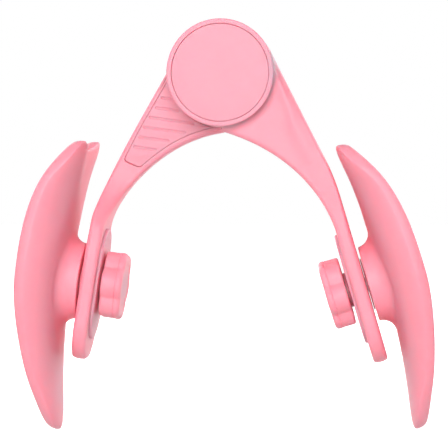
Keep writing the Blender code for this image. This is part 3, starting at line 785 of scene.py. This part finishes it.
line = spring_line()
rings = []
for i, place in enumerate(line):
    along = line[min(i + 1, len(line) - 1)] - line[max(i - 1, 0)]
    along /= np.linalg.norm(along)
    side_way = np.cross(along, (0.0, 1.0, 0.0))
    side_way /= np.linalg.norm(side_way)
    up_way = np.cross(side_way, along)
    rings.append([tuple(place + WIRE_R * (side_way * math.cos(a) + up_way * math.sin(a)))
                  for a in np.linspace(0, 2 * math.pi, WIRE_SIDES, endpoint=False)])
shape = bmesh.new()
skin_rings(shape, rings)
hub_axes = Matrix.Translation(hub_axis) @ Matrix.Scale(MM, 4)
spring = mesh_object("wound_spring", shape, hub_axes, spring_steel)
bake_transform(spring)
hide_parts("torsion_spring")
print("spring:", len(spring.data.polygons), "faces")

# %% [markdown]
# ## The thigh pads' shape
#
# A pad is a long saddle: wide at its lower half, pointed at both ends, with two soft lobes at its
# top. Seen from its bolt it is a fan of cuts, and each cut is the same path: pedestal, fillet,
# belly, rounded rim, trough and bolt pocket. A few formulas say how high the spine, the rim's
# shoulder and the crest are at each distance down the arm, and the fan does the rest.

# %% Lines of the pad, in millimetres from its bolt
PAD_HALF, PAD_CREST, WALL = 41.0, 31.1, 5.8
LINER, LINER_MARGIN, LINER_PLAY = 2.5, 7.5, 0.8
SPINE_TOP, SPINE_BOW, SPINE_CURL = 9.3, 0.00086, 6.5e-6
CREST_BELOW, CREST_BELOW_POWER, CREST_ABOVE = 0.0128, 1.68, 4.3e-5
CREST_WALL = 0.12  # the share of the wall that the trough's rim lies under the crest
ENDS_FROM, ENDS_RUN, ENDS_ROUND = 50, 22, 0.6  # where the pad's rounded ends start
CREASE_DEPTH, CREASE_HALF, CREASE_FROM, CREASE_RUN = 3.5, 13.0, 24, 44
CREASE_MOST = 0.6  # the crease takes up no more than this share of the trough's depth
RIM_DEPTH, FLANK, RIM_SQUARE = 5.2, 2.2, 9  # the last two are powers: higher ones rise later
PEDESTAL_R, PEDESTAL_FILLET, PEDESTAL_FACE, PEDESTAL_EDGE = 20.2, 7.0, 1.3, 0.8
PEDESTAL_ROW = 3.0  # a row of points on the pedestal's flat face, this far inside its edge
BOLT_HEAD_R, BOLT_HEAD_LOW = 7.5, 6.6
END_ROUND, INNER_ROUND_LEAST = 1.7, 1.0
RAYS, FINE = 120, 3
PAD_OUTLINE = ((80.6, 0), (75.5, 11.5), (60, 22), (36, 32), (2, PAD_HALF), (-36, 41.5), (-61, 38.5),
               (-74.2, 27), (-69.5, 0))


def pad_rim(count):
    """Even steps along the smooth curve through the outline and its mirror, as (down, across)."""
    half = [np.array(p, float) for p in PAD_OUTLINE]
    knots = half + [p * (1, -1) for p in reversed(half[1:-1])]
    fine = []
    for i in range(len(knots)):
        a, b, c, d = (knots[(i + k - 1) % len(knots)] for k in range(4))
        for t in np.linspace(0, 1, 40, endpoint=False):
            fine.append(0.5 * (2 * b + (c - a) * t + (2 * a - 5 * b + 4 * c - d) * t**2
                               + (3 * b - a - 3 * c + d) * t**3))
    fine = np.array(fine + fine[:1])
    run = np.concatenate([[0], np.cumsum(np.linalg.norm(np.diff(fine, axis=0), axis=1))])
    at = np.linspace(0, run[-1], count, endpoint=False)
    return np.stack([np.interp(at, run, fine[:, k]) for k in (0, 1)], 1)


one_side = pad_rim(400)
one_side = one_side[one_side[:, 1] >= 0]
one_side = one_side[: int(np.argmin(one_side[:, 0])) + 1]
one_side = one_side[np.argsort(one_side[:, 0])]


def half_width(down):
    """Half the pad's width at this distance down."""
    return max(float(np.interp(down, one_side[:, 0], one_side[:, 1])), 1e-6)


def spine(down):
    """Height of the belly's middle line."""
    return SPINE_TOP - SPINE_BOW * down * down - SPINE_CURL * abs(down) ** 3


def ending(down):
    """How far this place is into the pad's rounded ends, from 0 to 1."""
    return smooth_step((abs(down) - ENDS_FROM) / ENDS_RUN)


def crest(down):
    """Height of the rim's highest line."""
    if down > 0:
        return PAD_CREST - CREST_BELOW * down**CREST_BELOW_POWER
    return PAD_CREST - CREST_ABOVE * abs(down) ** 3


def shoulder(down):
    """Where the rim's rounding begins above the flank."""
    at_ends = ENDS_ROUND * (crest(down) - spine(down)) * ending(down)
    return crest(down) - RIM_DEPTH * (1 - ending(down)) - at_ends


def crease(down, across):
    """The crease between the two upper lobes."""
    grown = smooth_step((-down - CREASE_FROM) / CREASE_RUN)
    return CREASE_DEPTH * grown * math.exp(-((across / CREASE_HALF) ** 2))


def bowl(down, across, share, low, high):
    """A trough from low in its middle to high at its rim; share says how near the rim this is."""
    reach = min(abs(across) / half_width(down), 1.0)
    level = (1 - reach**FLANK) ** (1 / FLANK) * max(1 - share**RIM_SQUARE, 0.0) ** (1 / 3)
    low += min(crease(down, across), CREASE_MOST * max(high - low, 0.0))
    return low + (high - low) * (1 - level)


def belly(ray, share):
    """Height of the side towards the arm."""
    down, across = ray * share
    return bowl(down, across, share, spine(down), shoulder(down))


def trough(ray, share, wall):
    """Height of the thigh side, where the shell is this thick."""
    inner = 1 - wall / float(np.linalg.norm(ray))
    share = min(share / inner, 1.0)
    down, across = ray * share * inner
    low, top = spine(down) + wall, crest(down) - CREST_WALL * wall
    if low > top:
        return top - (WALL - wall)
    return bowl(down, across / inner, share, low, top)


def shell_cut(ray):
    """One cut through the shell, as (share of the ray, height) points from the bolt and back."""
    size = float(np.linalg.norm(ray))
    sixth = math.pi / 3
    pocket = (BOLT_HEAD_R / math.cos(math.atan2(ray[1], ray[0]) % sixth - sixth / 2)) / size
    hole, foot = BOLT_HOLE_R / size, (PEDESTAL_R + PEDESTAL_FILLET) / size
    cut = [(hole, PEDESTAL_FACE), ((PEDESTAL_R - PEDESTAL_ROW) / size, PEDESTAL_FACE)]
    edge_at = (PEDESTAL_R - PEDESTAL_EDGE, PEDESTAL_FACE + PEDESTAL_EDGE)
    cut += [(r / size, height) for r, height in arc(edge_at, PEDESTAL_EDGE, -90, 0, 4)]
    top = belly(ray, foot)
    for a in np.linspace(0, math.pi / 2, 2 + 3 * FINE):
        cut.append((foot - PEDESTAL_FILLET / size * math.cos(a),
                    top - PEDESTAL_FILLET * (1 - math.sin(a))))
    for a in np.linspace(math.asin(foot), math.pi / 2, 2 + 6 * FINE)[1:]:
        cut.append((math.sin(a), belly(ray, math.sin(a))))
    low, high = cut[-1][1], crest(ray[0])
    outer_round = 0.5 * WALL + END_ROUND * ending(ray[0])
    inner_round = max(WALL - outer_round, INNER_ROUND_LEAST)
    inner_low = min(trough(ray, 1 - (outer_round + inner_round) / size, WALL), high - 0.05)
    for a in np.linspace(0, math.pi / 2, 2 + 3 * FINE)[1:]:
        cut.append((1 - outer_round * (1 - math.cos(a)) / size, low + (high - low) * math.sin(a)))
    for a in np.linspace(0, math.pi / 2, 1 + 2 * FINE)[1:]:
        cut.append((1 - (outer_round + inner_round * math.sin(a)) / size,
                    inner_low + (high - inner_low) * math.cos(a)))
    ledge, last = 1 - LINER_MARGIN / size, cut[-1][0]
    cut += [(share, trough(ray, share, WALL)) for share in np.linspace(last, ledge, 5)[1:]]
    floor = WALL - LINER - LINER_PLAY
    cut += [(share, trough(ray, share, floor)) for share in np.linspace(ledge, pocket, 2 + 5 * FINE)]
    cut += [(pocket, BOLT_HEAD_LOW - GAP), (hole, BOLT_HEAD_LOW - GAP)]
    return [(height, share * ray[1], -share * ray[0]) for share, height in cut]


print("a cut through the shell has", len(shell_cut(pad_rim(RAYS)[0])), "points")

# %% [markdown]
# ## Shells and liners
#
# The shell is one closed skin through all the cuts. The liner is a soft foam-rubber sheet that
# lies in the trough over the bolt's head. It has a rolled edge and shallow channels across it,
# which keep it from sliding and let the skin breathe.

# %% Shells
for side in SIDES:
    shape = bmesh.new()
    skin_rings(shape, [shell_cut(ray) for ray in pad_rim(RAYS)], closed=True)
    shell = mesh_object(f"{side}_shell", shape, pad_axes[side], moulded)
    finished(shell, f"{side}_pad", f"{side}_pad_shell")

# %% Liners
CHANNEL_PITCH, CHANNEL_SINK, CHANNEL_NARROW, LINER_LIP = 9.0, 0.55, 6, 1.1
CHANNEL_END, CHANNEL_FADE = 0.86, 0.12  # shares of the way from the bolt to the rim
LINER_MIDDLE = 0.01  # the liner's cuts stop this near to its middle


def liner_sink(down, across, share):
    """How far the liner's face dips: the channels across it, fading before its edge."""
    fade = smooth_step((CHANNEL_END - share) / CHANNEL_FADE)
    wave = 0.5 + 0.5 * math.cos(2 * math.pi * down / CHANNEL_PITCH)
    return CHANNEL_SINK * fade * wave**CHANNEL_NARROW


def liner_cut(ray):
    """One cut through the liner, from its middle round its edge and back."""
    size = float(np.linalg.norm(ray))
    ledge = 1 - (LINER_MARGIN + LINER_PLAY) / size
    lip = LINER_LIP / size
    cut = [(share, trough(ray, share, WALL - LINER))
           for share in np.linspace(LINER_MIDDLE, ledge - lip / 2, 12)]
    cut.append((ledge, trough(ray, ledge, WALL - LINER) + LINER_LIP / 2))
    for a in np.linspace(0, math.pi / 2, 5):
        share = ledge - lip * (1 - math.cos(a))
        cut.append((share, trough(ray, share, WALL) - LINER_LIP * (1 - math.sin(a))))
    for share in np.linspace(ledge - lip, LINER_MIDDLE, 44)[1:]:
        height = trough(ray, share, WALL) - liner_sink(ray[0] * share, ray[1] * share, share)
        cut.append((share, height))
    return [(height, share * ray[1], -share * ray[0]) for share, height in cut]


for side in SIDES:
    shape = bmesh.new()
    rows = [liner_cut(ray) for ray in pad_rim(RAYS)]
    skin_rings(shape, [list(ring) for ring in zip(*rows)])
    liner = mesh_object(f"{side}_liner", shape, pad_axes[side], skin)
    finished(liner, f"{side}_pad", f"{side}_pad_liner", slot="soft_liner_pink")

# %% [markdown]
# ## Knobs
#
# Each knob has six shallow lobes for the fingers. A fine parting line runs round it near the
# face, the face's edge is well rounded, and the middle of the face is a slightly sunk panel with
# the same wavy outline. The profile is swept round the bolt, and only its outer points follow
# the lobes, so the bore for the brass insert stays round.

# %% Sweep the knobs and their collars
KNOB_R, KNOB_LOBE, KNOB_LOBES, KNOB_FACE, KNOB_BACK = 17.3, 1.5, 6, -21.6, -10.6
KNOB_EDGE, KNOB_BACK_EDGE, PARTING_AT, PARTING_DEPTH, PARTING_HALF = 2.0, 1.2, 3.4, 0.35, 0.3
PANEL_SINK, PANEL_INSET, INSERT_R, INSERT_END = 0.4, 4.6, 6.2, -20.2
PANEL_STEP = ((0.8, 1.0), (0.25, 0.85), (-0.25, 0.15), (-0.8, 0.0))  # (further in, share of the sink)
KNOB_NARROWS = 0.2  # behind its parting line
LOBE_TURN, LOBE_SOFT = math.radians(9), 0.015  # the lobes' turn, and how soft the valleys are
COLLAR_R, COLLAR_FACES, COLLAR_EDGE = 9.25, (-10.3, -9.3), 0.25

knob_profile = [(KNOB_R - (PANEL_INSET + further), KNOB_FACE + PANEL_SINK * sink, 1.0)
                for further, sink in PANEL_STEP]
knob_profile += [(r, x, 1.0) for r, x in
                 arc((KNOB_R - KNOB_EDGE, KNOB_FACE + KNOB_EDGE), KNOB_EDGE, -90, 0, 7)]
parting = KNOB_FACE + PARTING_AT
knob_profile += [(KNOB_R, parting - PARTING_HALF, 1.0), (KNOB_R - PARTING_DEPTH, parting, 1.0),
                 (KNOB_R, parting + PARTING_HALF, 1.0)]
knob_profile += [(KNOB_R - KNOB_NARROWS, x, 1.0)
                 for x in np.linspace(parting + 1.0, KNOB_BACK - 2.0, 3)]
back_edge = (KNOB_R - KNOB_NARROWS - KNOB_BACK_EDGE, KNOB_BACK - KNOB_BACK_EDGE)
knob_profile += [(r, x, 1.0) for r, x in arc(back_edge, KNOB_BACK_EDGE, 0, 90, 4)]
knob_profile += [(KNOB_R * 0.6, KNOB_BACK, 0.5), (INSERT_R + GAP, KNOB_BACK, 0.0),
                 (INSERT_R + GAP, INSERT_END - GAP, 0.0), (0.0, INSERT_END - GAP, 0.0),
                 (0.0, KNOB_FACE + PANEL_SINK, 0.0), (KNOB_R * 0.4, KNOB_FACE + PANEL_SINK, 0.5)]


def lobed_rings(profile, count=192):
    """Rings of the profile round the bolt, swelling with the lobes by each point's share."""
    rings = []
    for i in range(count):
        angle = 2 * math.pi * i / count
        lobe = math.cos(KNOB_LOBES / 2 * (angle - LOBE_TURN)) ** 2
        swell = KNOB_LOBE * (2 * math.sqrt((lobe + LOBE_SOFT) / (1 + LOBE_SOFT)) - 1)
        rings.append([(x, (r + swell * share) * math.cos(angle),
                       (r + swell * share) * math.sin(angle)) for r, x, share in profile])
    return rings


back, front = COLLAR_FACES
collar_profile = [(BOLT_HOLE_R, back)]
collar_profile += arc((COLLAR_R - COLLAR_EDGE, back + COLLAR_EDGE), COLLAR_EDGE, -90, 0, 3)
collar_profile += arc((COLLAR_R - COLLAR_EDGE, front - COLLAR_EDGE), COLLAR_EDGE, 0, 90, 3)
collar_profile += [(BOLT_HOLE_R, front)]
for side in SIDES:
    shape = bmesh.new()
    skin_rings(shape, lobed_rings(knob_profile), closed=True)
    knob = mesh_object(f"{side}_lobed_knob", shape, pad_axes[side], moulded, sharp=50)
    finished(knob, f"{side}_knob", f"{side}_knob")
    collar = turned(f"{side}_collar", collar_profile, pad_axes[side], moulded, 96, "x")
    finished(collar, f"{side}_knob_washer", f"{side}_knob_washer")

# %% [markdown]
# ## Fasteners
#
# The bolts, nut, washers, bush and inserts already have their right shapes in the frame, so they
# stay, and only their finish changes: bright zinc for what is turned from steel, brass for the
# threaded inserts, natural nylon for the bush and tinted rubber between pad and arm. The thrust
# washer shows as a line round the hub, so it takes the arms' pink.

# %% Finish the pieces that stay as they are
kept = {
    "pivot_bolt": steel, "pivot_nut": steel, "front_washer": steel, "rear_washer": steel,
    "pivot_bush": nylon, "thrust_washer": moulded,
}
for side in SIDES:
    kept[f"{side}_pad_bolt"] = steel
    kept[f"{side}_knob_insert"] = brass
    kept[f"{side}_friction_washer"] = rubber
for name, surface in kept.items():
    node = frame["nodes"][name]
    if not node.material_slots:
        node.data.materials.append(surface)
    for slot in node.material_slots:
        slot.material = surface
print(len(kept), "pieces keep their own shape")
